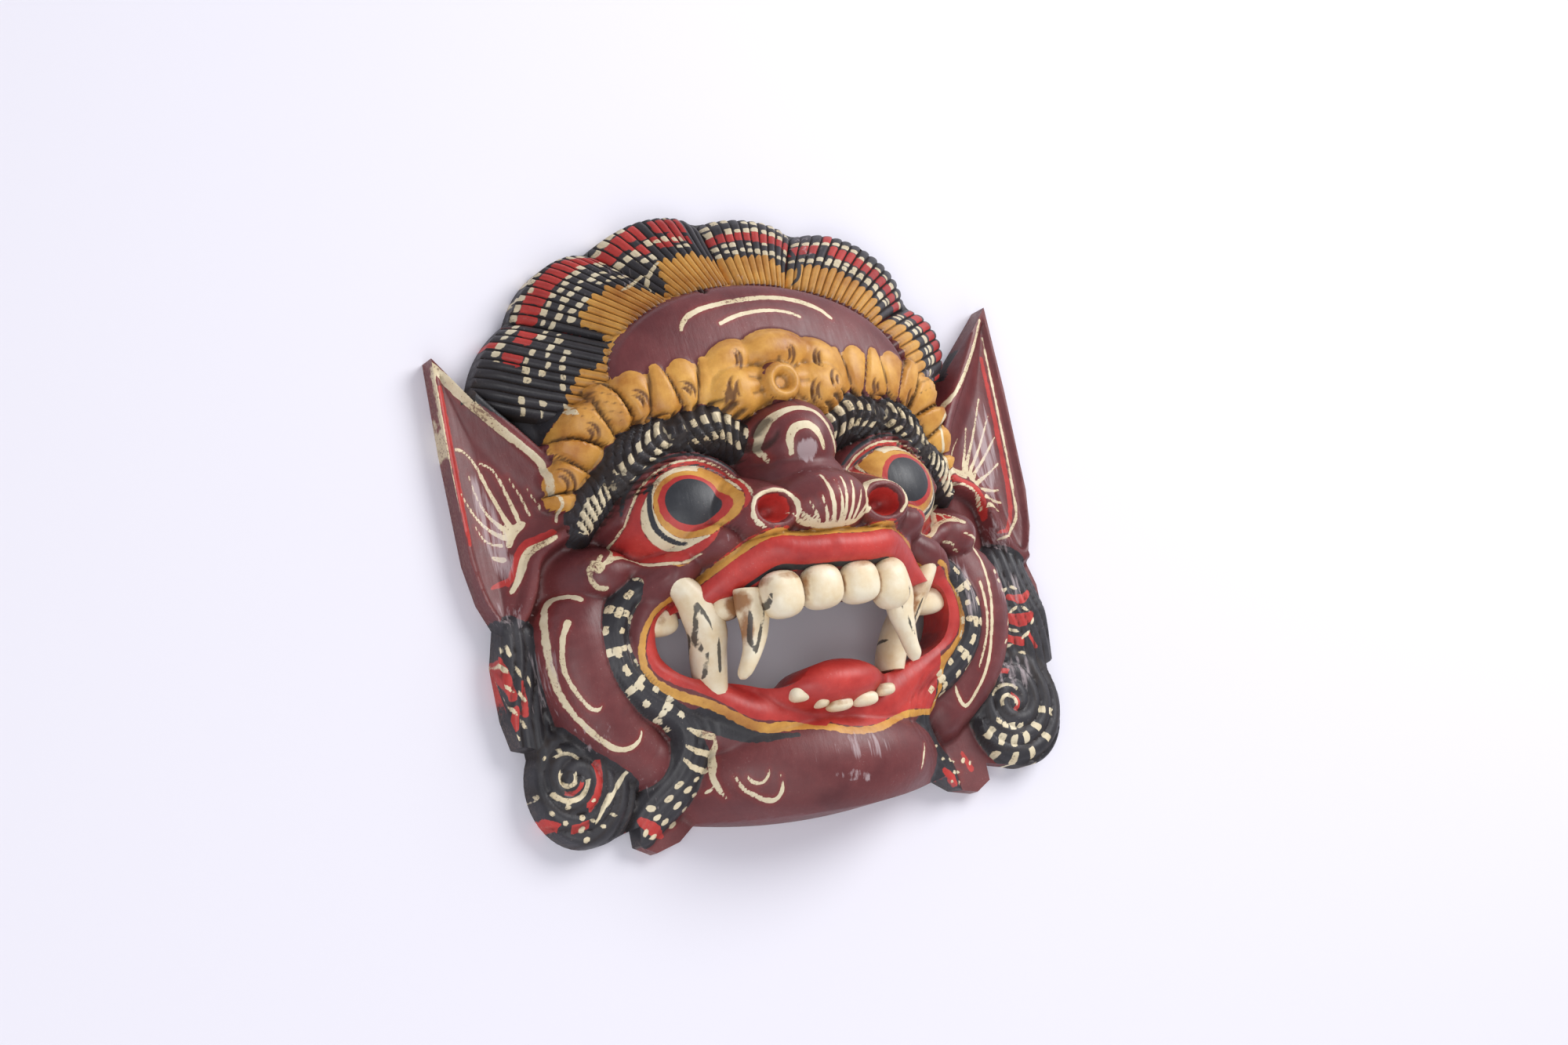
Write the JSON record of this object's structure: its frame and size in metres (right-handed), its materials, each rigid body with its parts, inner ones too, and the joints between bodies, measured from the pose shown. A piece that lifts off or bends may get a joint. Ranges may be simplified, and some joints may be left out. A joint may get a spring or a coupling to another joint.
{
  "type": "barong mask",
  "caption": "Carved and painted wooden demon mask with combed hair, gilded crown, bulging eyes, pointed ears and an open fanged mouth, hollow behind.",
  "frame": {"origin": "centre of the bounding box in X and Y, on the plane of the mask's back rim", "axes": "+X to the right of someone who faces the mask, +Y to the top of the head, +Z out of the face"},
  "size_m": [0.2954, 0.2872, 0.0879],
  "materials": {
    "painted_wood": "satin hand-painted wood, maroon with black, red, gold and cream"
  },
  "bodies": {
    "root": {"mask": "painted_wood"}
  },
  "joints": []
}
